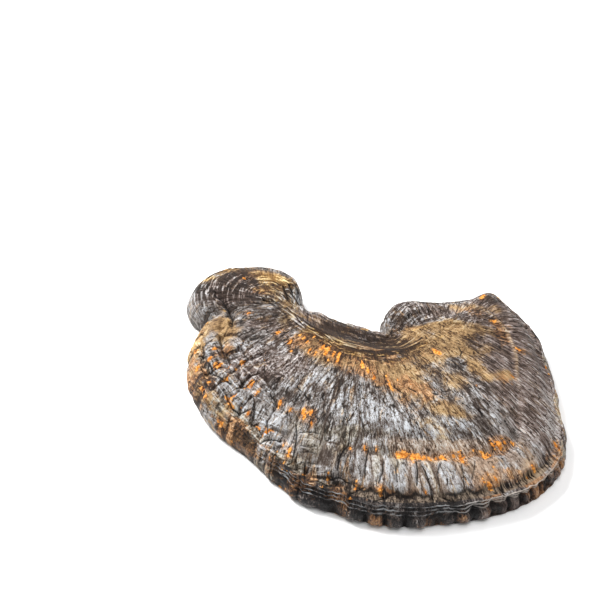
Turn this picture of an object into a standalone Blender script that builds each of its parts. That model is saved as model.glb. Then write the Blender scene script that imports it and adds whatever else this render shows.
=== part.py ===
"""A dried reishi bracket: one kidney-shaped cap with two ears that curl round the place where it grew.

Run with:  blender --background --python part.py
Metres, +Z up. The cap lies on its flat pore surface, its growing margin faces -Y, and the origin is
under the middle of the whole piece, on the surface that it rests on.
"""

import math

import bmesh
import bpy
import numpy as np

MM = 0.001

# Growth lines run from the crest out to the margin, this many round the whole outline.
LINES = 200

# The crest is the thick line that the cap grew out from, left ear to right ear: x, y, height in mm.
CREST = (
    (-56, 44, 32.0),
    (-46, 37, 33.5),
    (-34, 27, 35.0),
    (-18, 18, 36.0),
    (-1, 15, 35.5),
    (12, 18, 34.0),
    (22, 26, 32.5),
    (30, 35, 31.0),
    (36, 41, 29.5),
)
CREST_HALF_WIDTH = 1.4

# The outline seen from above, anticlockwise from the front: x, y, height of the lip, width of the
# rim outside the lip, share of a plain rounded rim in place of ledges, and place along the crest.
MARGIN = (
    (8, -61, 18, 5, 0.0, 0.53),
    (29, -59, 17, 5, 0.0, 0.57),
    (48, -54.5, 16, 5, 0.0, 0.62),
    (66, -48, 15, 5, 0.0, 0.68),
    (81, -38, 14, 5, 0.0, 0.75),
    (90, -25, 13, 5, 0.1, 0.82),
    (92.5, -9, 13, 5, 0.2, 0.87),
    (89.5, 5, 13, 5, 0.3, 0.91),
    (88, 18, 13, 5, 0.3, 0.94),
    (84.5, 32, 14, 5, 0.3, 0.96),
    (80, 47, 15, 5, 0.3, 0.98),
    (71, 59.5, 16, 5, 0.3, 1.00),
    (62.5, 66, 17, 5, 0.4, 1.00),
    (54, 70, 19, 5, 0.5, 1.00),
    (44, 67.5, 19, 6, 0.6, 0.99),
    (28, 64.5, 20, 7, 0.6, 0.96),
    (12, 61.5, 22, 8, 0.6, 0.92),
    (2.5, 57, 22, 8, 0.5, 0.90),
    (-1.5, 50, 22, 8, 0.5, 0.88),
    (-0.5, 43.5, 21, 7, 0.8, 0.82),
    (-7, 43, 24, 11, 1.0, 0.67),
    (-20, 45.5, 27, 11, 1.0, 0.50),
    (-32, 49, 28.5, 11, 1.0, 0.33),
    (-38.5, 50.5, 27, 9, 0.9, 0.22),
    (-40.5, 57, 25, 9, 0.6, 0.15),
    (-42, 67, 24, 9, 0.6, 0.08),
    (-49, 74.5, 24, 9, 0.6, 0.03),
    (-61, 76.5, 24, 8, 0.7, 0.0),
    (-74, 75, 23.5, 8, 0.8, 0.0),
    (-86, 73, 22, 8, 0.8, 0.0),
    (-95, 67, 21, 8, 0.8, 0.0),
    (-99.5, 59, 20, 8, 0.9, 0.0),
    (-99.5, 50.5, 19, 8, 0.9, 0.02),
    (-94.5, 45, 19, 6, 0.8, 0.04),
    (-86, 41, 19, 4, 0.8, 0.06),
    (-91.5, 35.5, 19, 6, 0.8, 0.08),
    (-95, 25, 20, 8, 0.8, 0.11),
    (-94, 10, 21, 8, 0.7, 0.15),
    (-88.5, -3, 21, 7, 0.6, 0.20),
    (-80.5, -13.5, 20, 6, 0.4, 0.25),
    (-69, -23.5, 19, 6, 0.2, 0.30),
    (-57.5, -32, 18, 5, 0.1, 0.35),
    (-46.5, -42, 18, 5, 0.0, 0.40),
    (-32, -51.5, 18, 5, 0.0, 0.45),
    (-12, -57.5, 18, 5, 0.0, 0.49),
)
# The flat face where the cap was cut off the tree, at the back between the ears.
CUT_X = (-38.0, -4.0)
CUT_Y = (46.0, 40.5)
MIDDLE = (-3.7, 7.6)

# Where the growth step lies: place along the crest, share of the way from the crest to the lip.
STEP = ((0.15, 0.77), (0.50, 0.71), (0.62, 0.76), (0.75, 0.80), (0.82, 0.69), (0.90, 0.63))

# The rim's section from the lip down: share of the rim's width outwards, share of the lip's height.
LEDGES = (
    (0.22, 0.985),
    (0.40, 0.92),
    (0.27, 0.85),
    (0.55, 0.79),
    (0.42, 0.71),
    (0.70, 0.65),
    (0.58, 0.57),
    (0.90, 0.48),
    (1.00, 0.34),
    (0.96, 0.17),
    (0.76, 0.05),
    (0.45, 0.0),
)
ROUNDED = (
    (0.16, 0.985),
    (0.32, 0.94),
    (0.46, 0.88),
    (0.60, 0.80),
    (0.72, 0.71),
    (0.82, 0.62),
    (0.90, 0.53),
    (0.96, 0.43),
    (1.00, 0.32),
    (0.97, 0.17),
    (0.80, 0.05),
    (0.50, 0.0),
)


def smooth_closed(rows, samples):
    """A closed Catmull-Rom curve through the rows, sampled evenly along its length seen from above."""
    points = np.array(rows, float)
    fine = 40
    share = np.arange(fine)[:, None] / fine
    before, here = np.roll(points, 1, 0), points
    after, beyond = np.roll(points, -1, 0), np.roll(points, -2, 0)
    spans = [
        0.5 * (2 * b + (c - a) * share + (2 * a - 5 * b + 4 * c - d) * share**2
               + (3 * b - a - 3 * c + d) * share**3)
        for a, b, c, d in zip(before, here, after, beyond)
    ]
    curve = np.concatenate(spans)
    closed = np.concatenate([curve, curve[:1]])
    step = np.hypot(*(closed[1:, :2] - closed[:-1, :2]).T)
    along = np.concatenate([[0], np.cumsum(step)])
    wanted = np.arange(samples) * along[-1] / samples
    return np.stack([np.interp(wanted, along, column) for column in closed.T], 1)


def crest_at(place):
    """Points of the crest at the given places along it, 0 at the left ear and 1 at the right one."""
    crest = np.array(CREST, float)
    step = np.hypot(*np.diff(crest[:, :2], axis=0).T)
    along = np.concatenate([[0], np.cumsum(step)]) / step.sum()
    place = np.clip(place, 0, 1)
    return np.stack([np.interp(place, along, column) for column in crest.T], 1)


def softened(values, width):
    """Values round the closed outline, averaged with their neighbours."""
    reach = np.arange(-3 * width, 3 * width + 1)
    weights = np.exp(-0.5 * (reach / width) ** 2)
    return sum(w * np.roll(values, k, 0) for k, w in zip(reach, weights)) / weights.sum()


def bump(x, y, at, size, height):
    """A rounded swelling, or a hollow where the height is negative."""
    return height * np.exp(-((x - at[0]) / size[0]) ** 2 - ((y - at[1]) / size[1]) ** 2)


def crease(x, y, route, width, depth):
    """A groove along a route of points, full depth at its start and fading out at its end."""
    route = np.array(route, float)
    best = np.full(x.shape, np.inf)
    fade = np.zeros(x.shape)
    for k, (a, b) in enumerate(zip(route, route[1:])):
        along = b - a
        share = np.clip(((x - a[0]) * along[0] + (y - a[1]) * along[1]) / (along @ along), 0, 1)
        gap = np.hypot(x - a[0] - share * along[0], y - a[1] - share * along[1])
        nearer = gap < best
        best = np.where(nearer, gap, best)
        fade = np.where(nearer, 1 - (k + share) / (len(route) - 1), fade)
    return -depth * fade**0.5 * np.exp(-((best / width) ** 2))


def hill(value, middle, width):
    return np.exp(-(((value - middle) / width) ** 2))


# Swellings and hollows of the upper side: middle, half-widths and height in mm.
BUMPS = (
    ((-68, 58), (18, 11), 2.5),
    ((-90, 51), (8, 8), 2.4),
    ((-84, 33), (9, 6), 1.6),
    ((3, 25), (14, 6), -3.0),
    ((10, 51), (9, 7), 3.0),
    ((23, 47), (6, 4), -2.0),
    ((35, 44), (9, 5), 1.5),
    ((54, 64), (7, 6), 2.6),
    ((-78, -2), (9, 14), 1.6),
    ((22, -20), (32, 18), 1.2),
    ((58, 12), (18, 20), 1.0),
)

# Grooves: route from the deep end, half-width and depth in mm.
CREASES = (
    (((-3, 44), (4, 38), (12, 37), (21, 41), (29, 46)), 3.2, 4.2),
    (((-38, 50), (-44, 47), (-50, 46), (-57, 47)), 2.8, 3.2),
    (((-87, 54), (-80, 48), (-74, 39), (-72, 28)), 2.8, 2.8),
    (((-86, 9), (-77, 0), (-68, -7), (-60, -17), (-50, -26)), 2.4, 1.8),
    (((-29, -43), (-18, -48), (-9, -46), (0, -50)), 1.9, 1.8),
)

# Rings of the upper side: shares of the way from the crest to the growth step, then on to the lip.
INNER_RINGS = (0.0, 0.14, 0.30, 0.48, 0.66, 0.83, 0.95, 1.0)
OUTER_RINGS = (0.16, 0.42, 0.68, 0.86, 1.0)
LIP_GROOVE = OUTER_RINGS[3]


def top_height(x, y, out, crest_z, lip_z, step, back, turn):
    """Height of the upper side. out runs from 0 at the crest to 1 at the lip, with a growth step
    where out equals step; back is 1 behind the crest and 0 in front of it."""
    z = lip_z + (crest_z - lip_z) * (1 - out**1.9) ** 0.9
    front = 1 - back
    beyond = np.clip((out - step) / (1 - step), 0, 1)
    z += front * 1.7 * np.sin(math.pi * beyond) ** 0.8
    z -= front * (0.5 + 5 * (step - 0.63)) * hill(out, step, 0.03)
    z -= front * 1.2 * hill(beyond, LIP_GROOVE, 0.1)
    z -= back * 3.2 * np.sin(math.pi * out) ** 2
    ribs = 0.6 * np.sin(31 * turn + 1.7 * np.sin(3 * turn)) + 0.4 * np.sin(43 * turn + 2.0)
    z += front * 0.9 * ribs * np.clip((out - 0.4) / 0.4, 0, 1) * (1 - out**8)
    for at, size, height in BUMPS:
        z += bump(x, y, at, size, height)
    for route, width, depth in CREASES:
        z += crease(x, y, route, width, depth)
    return z


def cap_rings(lines):
    """Rings of points in mm, from the crest out over the lip, down the rim and on to the underside."""
    margin = smooth_closed(MARGIN, lines)
    turn = np.arange(lines) * 2 * math.pi / lines
    edge, lip_z, rim, rounded = margin[:, :2], margin[:, 2], margin[:, 3], margin[:, 4]
    place = softened(margin[:, 5], lines // 60)
    crest = crest_at(place)
    step = np.interp(place, *zip(*STEP))
    across = edge - crest[:, :2]
    reach = np.hypot(*across.T)
    across /= reach[:, None]
    start = crest[:, :2] + CREST_HALF_WIDTH * across
    lip = edge - rim[:, None] * across
    behind = (edge[:, 1] > crest[:, 1]) & (reach < 34)
    back = softened(behind * np.exp(-(((crest[:, 0] - edge[:, 0]) / 28) ** 2)), lines // 60)
    back = np.maximum(back, 1 - np.clip(place / 0.08, 0, 1))
    rings = []
    shares = [share * step for share in INNER_RINGS] + [step + share * (1 - step) for share in OUTER_RINGS]
    for out in shares:
        plan = start + out[:, None] * (lip - start)
        z = top_height(plan[:, 0], plan[:, 1], out, crest[:, 2], lip_z, step, back, turn)
        rings.append(np.column_stack([plan, z]))
    lip_z = rings[-1][:, 2]
    lumps = np.abs(np.sin(22.5 * turn + 0.8 * np.sin(5 * turn)))
    at_cut = (edge[:, 0] > CUT_X[0]) & (edge[:, 0] < CUT_X[1]) & (edge[:, 1] > 30)
    for (ledge_out, ledge_up), (round_out, round_up) in zip(LEDGES, ROUNDED):
        share = ledge_out + rounded * (round_out - ledge_out)
        up = ledge_up + rounded * (round_up - ledge_up)
        low = hill(up, 0.3, 0.25) * (1 - rounded)
        plan = lip + (rim * share + 1.1 * low * (lumps - 0.7))[:, None] * across
        cut = np.interp(plan[:, 0], CUT_X, CUT_Y)
        plan[:, 1] = np.where(at_cut, np.minimum(plan[:, 1], cut), plan[:, 1])
        rings.append(np.column_stack([plan, lip_z * up]))
    return np.array(rings)


def new_cap(collection):
    """A capped tube whose rings are drawn out into the cap."""
    rings = cap_rings(LINES)
    mesh = bpy.data.meshes.new("reishi_cap")
    tube = bmesh.new()
    bmesh.ops.create_cone(tube, cap_ends=True, segments=LINES, radius1=1, radius2=1, depth=2)
    uprights = [e for e in tube.edges if abs(e.verts[0].co.z - e.verts[1].co.z) > 1]
    bmesh.ops.subdivide_edges(tube, edges=uprights, cuts=len(rings) - 2, use_grid_fill=True)
    for vertex in tube.verts:
        ring = round((1 - vertex.co.z) / 2 * (len(rings) - 1))
        line = round(math.atan2(vertex.co.y, vertex.co.x) / (2 * math.pi) * LINES) % LINES
        x, y, z = rings[ring, line]
        vertex.co = ((x - MIDDLE[0]) * MM, (y - MIDDLE[1]) * MM, z * MM)
    tube.to_mesh(mesh)
    tube.free()
    mesh.shade_smooth()
    mesh.set_sharp_from_angle(angle=math.radians(50))
    cap = bpy.data.objects.new("reishi_cap", mesh)
    collection.objects.link(cap)
    return cap


def crust_material():
    """Dull grey-brown crust of a dried cap."""
    material = bpy.data.materials.new("crust")
    material.use_nodes = True
    shader = material.node_tree.nodes["Principled BSDF"]
    shader.inputs["Base Color"].default_value = (0.20, 0.155, 0.12, 1)
    shader.inputs["Roughness"].default_value = 0.5
    shader.inputs["Metallic"].default_value = 0.0
    return material


def main():
    for old in list(bpy.data.objects):
        bpy.data.objects.remove(old)
    collection = bpy.data.collections.new("reishi_mushroom")
    bpy.context.scene.collection.children.link(collection)
    cap = new_cap(collection)
    cap.data.materials.append(crust_material())


main()
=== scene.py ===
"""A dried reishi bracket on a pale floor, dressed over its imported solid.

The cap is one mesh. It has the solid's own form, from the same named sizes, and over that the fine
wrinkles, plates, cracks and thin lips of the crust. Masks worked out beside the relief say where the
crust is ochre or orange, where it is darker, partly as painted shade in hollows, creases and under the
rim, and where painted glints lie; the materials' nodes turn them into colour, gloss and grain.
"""

import math

import bpy
import numpy as np
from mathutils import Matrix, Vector


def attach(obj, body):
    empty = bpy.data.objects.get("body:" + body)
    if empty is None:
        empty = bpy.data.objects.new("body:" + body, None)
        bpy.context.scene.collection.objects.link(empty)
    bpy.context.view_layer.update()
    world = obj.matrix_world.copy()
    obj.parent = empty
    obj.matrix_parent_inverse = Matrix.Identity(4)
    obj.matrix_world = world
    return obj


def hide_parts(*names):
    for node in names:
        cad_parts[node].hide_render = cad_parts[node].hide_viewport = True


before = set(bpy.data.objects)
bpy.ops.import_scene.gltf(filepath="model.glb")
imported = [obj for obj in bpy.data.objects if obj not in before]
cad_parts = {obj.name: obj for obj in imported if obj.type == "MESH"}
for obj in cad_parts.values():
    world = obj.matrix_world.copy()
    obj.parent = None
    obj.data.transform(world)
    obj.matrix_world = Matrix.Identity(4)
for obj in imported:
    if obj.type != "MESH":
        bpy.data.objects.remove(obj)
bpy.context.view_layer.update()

MM = 0.001
TAU = 2 * math.pi

# ---------------------------------------------------------------------------------------------------
# The solid's form: the same sizes as its own source has, in mm.

CREST = (
    (-56, 44, 32.0), (-46, 37, 33.5), (-34, 27, 35.0), (-18, 18, 36.0), (-1, 15, 35.5), (12, 18, 34.0),
    (22, 26, 32.5), (30, 35, 31.0), (36, 41, 29.5),
)
CREST_HALF_WIDTH = 0.1

# x, y, height of the lip, width of the rim, share of a plain rounded rim, place along the crest.
MARGIN = (
    (8, -61, 18, 5, 0.0, 0.53), (29, -59, 17, 5, 0.0, 0.57), (48, -54.5, 16, 5, 0.0, 0.62),
    (66, -48, 15, 5, 0.0, 0.68), (81, -38, 14, 5, 0.0, 0.75), (90, -25, 13, 5, 0.1, 0.82),
    (92.5, -9, 13, 5, 0.2, 0.87), (89.5, 5, 13, 5, 0.3, 0.91), (88, 18, 13, 5, 0.3, 0.94),
    (84.5, 32, 14, 5, 0.3, 0.96), (80, 47, 15, 5, 0.3, 0.98), (71, 59.5, 16, 5, 0.3, 1.0),
    (62.5, 66, 17, 5, 0.4, 1.0), (54, 70, 19, 5, 0.5, 1.0), (44, 67.5, 19, 6, 0.6, 0.99),
    (28, 64.5, 20, 7, 0.6, 0.96), (12, 61.5, 22, 8, 0.6, 0.92), (2.5, 57, 22, 8, 0.5, 0.9),
    (-1.5, 50, 22, 8, 0.5, 0.88), (-0.5, 43.5, 21, 7, 0.8, 0.82), (-7, 43, 24, 11, 1.0, 0.67),
    (-20, 45.5, 27, 11, 1.0, 0.5), (-32, 49, 28.5, 11, 1.0, 0.33), (-38.5, 50.5, 27, 9, 0.9, 0.22),
    (-40.5, 57, 25, 9, 0.6, 0.15), (-42, 67, 24, 9, 0.6, 0.08), (-49, 74.5, 24, 9, 0.6, 0.03),
    (-61, 76.5, 24, 8, 0.7, 0.0), (-74, 75, 23.5, 8, 0.8, 0.0), (-86, 73, 22, 8, 0.8, 0.0),
    (-95, 67, 21, 8, 0.8, 0.0), (-99.5, 59, 20, 8, 0.9, 0.0), (-99.5, 50.5, 19, 8, 0.9, 0.02),
    (-94.5, 45, 19, 6, 0.8, 0.04), (-86, 41, 19, 4, 0.8, 0.06), (-91.5, 35.5, 19, 6, 0.8, 0.08),
    (-95, 25, 20, 8, 0.8, 0.11), (-94, 10, 21, 8, 0.7, 0.15), (-88.5, -3, 21, 7, 0.6, 0.2),
    (-80.5, -13.5, 20, 6, 0.4, 0.25), (-69, -23.5, 19, 6, 0.2, 0.3), (-57.5, -32, 18, 5, 0.1, 0.35),
    (-46.5, -42, 18, 5, 0.0, 0.4), (-32, -51.5, 18, 5, 0.0, 0.45), (-12, -57.5, 18, 5, 0.0, 0.49),
)
# The cut's two ends, and the middle of the cap's box, which is the origin of the finished mesh.
CUT_X = (-38.0, -4.0)
CUT_Y = (46.0, 40.5)
MIDDLE = (-3.7, 7.6)

# Where the growth step lies: place along the crest, share of the way from the crest to the lip.
STEP = ((0.15, 0.77), (0.50, 0.71), (0.62, 0.76), (0.75, 0.80), (0.82, 0.69), (0.90, 0.63))

# The section of the rim, ledged and rounded: share of its width, share of its height.
LEDGES = (
    (0.22, 0.985), (0.4, 0.92), (0.27, 0.85), (0.55, 0.79), (0.42, 0.71), (0.7, 0.65), (0.58, 0.57),
    (0.9, 0.48), (1.0, 0.34), (0.96, 0.17), (0.76, 0.05), (0.45, 0.0),
)
ROUNDED = (
    (0.16, 0.985), (0.32, 0.94), (0.46, 0.88), (0.6, 0.8), (0.72, 0.71), (0.82, 0.62), (0.9, 0.53),
    (0.96, 0.43), (1.0, 0.32), (0.97, 0.17), (0.8, 0.05), (0.5, 0.0),
)

# Swellings and hollows: x, y, reach along x and y, height.
BUMPS = (
    (-68, 58, 18, 11, 2.5), (-90, 51, 8, 8, 2.4), (-84, 33, 9, 6, 1.6), (3, 25, 14, 6, -3.0),
    (10, 51, 9, 7, 3.0), (23, 47, 6, 4, -2.0), (35, 44, 9, 5, 1.5), (54, 64, 7, 6, 2.6),
    (-78, -2, 9, 14, 1.6), (22, -20, 32, 18, 1.2), (58, 12, 18, 20, 1.0),
)
# Creases: width, depth, and x and y of each point of their route.
CREASES = (
    (3.2, 4.2, -3, 44, 4, 38, 12, 37, 21, 41, 29, 46), (2.8, 3.2, -38, 50, -44, 47, -50, 46, -57, 47),
    (2.8, 2.8, -87, 54, -80, 48, -74, 39, -72, 28), (2.4, 1.8, -86, 9, -77, 0, -68, -7, -60, -17, -50, -26),
    (1.9, 1.8, -29, -43, -18, -48, -9, -46, 0, -50),
)
# Where the groove behind the lip lies, as a share of the way from the step to the lip.
LIP_GROOVE = 0.86

# ---------------------------------------------------------------------------------------------------
# The fine mesh: lines round the outline, rings from crest to step, from step to lip, down the rim
# for each point of its section, and across the underside.

LINES = 880
INNER_RINGS = 46
OUTER_RINGS = 30
RIM_STEPS = 2
UNDER_RINGS = 5
# How far the lines lie apart where nothing crowds them, and over how many of them values are softened.
SPACING = 0.605
SOFTENING = LINES // 60
# The region of the crumpled plates, along x and along y.
PLATES_X, PLATES_Y = (-112, 20), (-76, 70)
# Rings from the lip down to where the cut shows, and rings of the rim that have pores already.
ABOVE_CUT, PORED = 7, 2
CRUST, PORES, FLESH = range(3)

# Cracks in the crust: depth in mm, and x and y of each point.
CRACKS = (
    (1.1, -50.5, 57, -49, 53, -47, 48.5), (1.1, -48, 59, -46, 55, -45, 50),
    (1.0, -45, 61.5, -43.3, 56.5, -43, 50), (1.0, -91, 18, -85, 14, -79, 11), (0.9, -84, 11, -80, 6, -76, 8),
    (1.1, -81, 6, -78, 2, -74, -1, -68, -4), (0.8, -65, -4, -62, -3, -58, -1),
    (0.7, -91, 12, -87, 10, -82, 7), (0.7, -92, 10, -87, 5, -80, 0),
    (1.3, -72, -7, -70, -11, -68, -14, -64, -16, -60, -16), (1.2, -85, 0, -80, -9, -78, -13, -70, -19),
    (1.3, -66, -21, -64, -24, -62, -27, -57, -31, -52, -35), (0.8, -51, -20, -50, -25, -50, -28),
    (1.0, -54, -30, -50, -29, -46, -30, -42, -31), (0.8, -60, -24, -57, -26, -54, -30),
    (1.3, -37, -22, -36, -28, -36, -34, -37, -40), (0.8, -36, -28, -30, -27, -25, -28),
    (0.6, -35, -34, -29, -35, -25, -34), (0.55, -35, -37, -30, -37, -25, -38),
    (0.6, -34, -41, -29, -41, -25, -42), (1.0, -31, -41, -31, -45, -30, -49),
    (1.4, -52, -35, -49, -38, -45, -42, -40, -45, -35, -49, -30, -51, -23, -53, -19, -52),
    (1.4, -21, -46, -18, -47, -14, -47, -8, -50), (1.3, -24, -48, -20, -50, -17, -50, -15, -48),
    (1.2, -12, -54, -8, -53, -5, -51.5, -2, -51), (1.0, -19, -54, -13, -55, -7, -55),
    (1.2, -6, -56, -1, -56.5, 4, -55.5, 9, -53.5, 13, -52), (1.2, 32, -51, 37, -52, 43, -52.5, 47, -51),
    (1.5, 20, -38, 21, -43, 21, -50), (0.9, 22, -39, 25, -44, 28, -50, 29, -54),
    (0.9, -11, -31, -15, -39, -16, -46), (0.9, -2, -33, -3, -41, -3, -49), (0.8, 5, -39, 5, -45, 3, -51),
    (0.6, 12, -39, 11, -44, 12, -50), (0.7, 31, -38, 30, -43, 32, -49), (0.7, 41, -36, 42, -42, 43, -48),
    (0.6, 47, -34, 47, -38, 46, -44), (0.5, -8, -4, -8, -10, -7, -17, -5, -27, -4, -33),
    (0.9, 64, 45, 68, 47, 73, 51), (0.8, 37, 25, 39, 21, 38, 18), (0.8, 59, -43, 61, -45, 63, -47),
    (1.5, -38, -5, -37, -6.5, -35, -8), (1.5, -34, -9, -32.5, -11, -31, -12),
    (1.3, -1.5, -3.5, 0, -4.5, 2, -4), (1.4, 7, -3, 9, -4.5, 12, -6.5), (1.3, 14, -3, 16, -4, 19, -5),
    (1.5, 25, -4, 27, -4.8, 29, -4.5), (1.3, 30, -2, 31.5, -2.5, 33, -2), (1.5, 48, -9, 49.5, -11, 50, -13),
    (1.0, -25, -9, -25.5, -11, -24, -13), (1.1, -60, 44, -56, 43, -50, 44, -45, 40, -39, 41),
    (1.6, -85, 52, -80, 48, -76, 42, -73, 35, -73, 28),
)
# Thin raised lines, such as old edges of growth: height in mm, and x and y of each point.
RIDGES = (
    (0.8, -52, 56, -50, 52, -48, 48.5), (0.8, -49, 58.5, -47.4, 54.5, -46, 49.5),
    (0.8, -46.5, 61, -44.6, 56, -44, 50),
    (1.0, -53, -32, -49, -35.5, -44, -40, -39, -43, -34, -47, -29, -49, -23, -51),
    (0.7, -90, 8, -84, -1, -78, -9, -70, -16, -62, -24, -55, -30),
    (1.0, 47, 52, 52, 50, 58, 45, 62, 38, 64.5, 31, 66, 24, 66, 16, 67, 5),
    (0.8, -39, 26, -29, 21, -21, 16.5, -13, 13.5, -5, 12.5, 3, 14),
    (0.9, 14, 31, 22, 36, 30, 39, 38, 39, 41, 34, 42, 28), (1.0, 24, -37, 27, -43, 30, -49, 31, -54),
    (0.8, -13, -32, -17, -38, -18, -45), (0.7, -75, 24, -76, 33, -79, 41, -84, 46),
)

# Where the orange flakes lie, x and y of each, and how large they are drawn.
FLAKES = np.reshape((
    56, -26, 58.5, -24.5, 61, -23, 56, -36, 53, -40, 57, -41, -39, 22, -35, 18, -29, 19, -25, 14, -20, 8,
    -24, 8, -33, 14, -19, 12, -43, 18, -37, 20, -32, 21, -27, 16, -22, 11, -26, 11, -42, 13, -31, 11,
    -50, 23, 14, 18, 27, 19, -8, 6, -5, 4, -2, 0, 4, 0, 9, 0, 6, -4, 15, -1, -11, -35, -4, -34, 1, -35,
    14, -35.5, 18, -36.5, 24, -36.5, 29, -35.5, 34, -35.5, 37, -33, 41, -34, 46, -30, 51, -31, 59, -26,
    64, -22, -31, -44, -20, -48, -48, -37, 5, -53, 25, -51, -17, -53, -7, -51, -9, -55, 51, -43, 54, -44,
    57, -48, 72, -36, 75, -32, -40, -17, -33, -21, -30, -23, -42, -33, -39, -36, -41, -40, -43, -43,
    -40, -46, -34, -18, -30, -19, -29, -24, -57, -7, -45, -13, -60, -17, -70, -16, -68, -24, -64, -25,
    -75, -16, -73, -18, -81, -1, -83, -3, -82, -7, -88, 9, -82, 10, -76, 7, -80, 17, -65, 36, -70, 59,
    -90, 3, 47, 3, 64, 13, 67, 30, 54, 45, 49, 61, 57, 65, 86, -17, 89, -21,
), (-1, 2))
FLAKE_SIZES = np.random.default_rng(5).uniform(0.5, 1.1, len(FLAKES))
# Routes of the gilded lines: x and y of each point.
GOLD_LINES = (
    (-30, 21.5, -20, 15, -8, 10, 4, 9.5, 16, 15), (-88, 52.5, -81.5, 46.5, -76, 38.5, -74.5, 28),
    (-98, 62, -93, 68, -85, 73.5, -74, 75.5, -61, 77, -50, 75),
    (-47, 35, -40, 31, -34, 26, -22, 17.5, -10, 13, 0, 12.5, 14, 18.5, 26, 27, 38, 35),
    (-36, 40, -25, 34, -15, 32, -6, 36, 4, 41), (12, 33, 22, 36, 32, 39.5, 42, 40),
)
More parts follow.
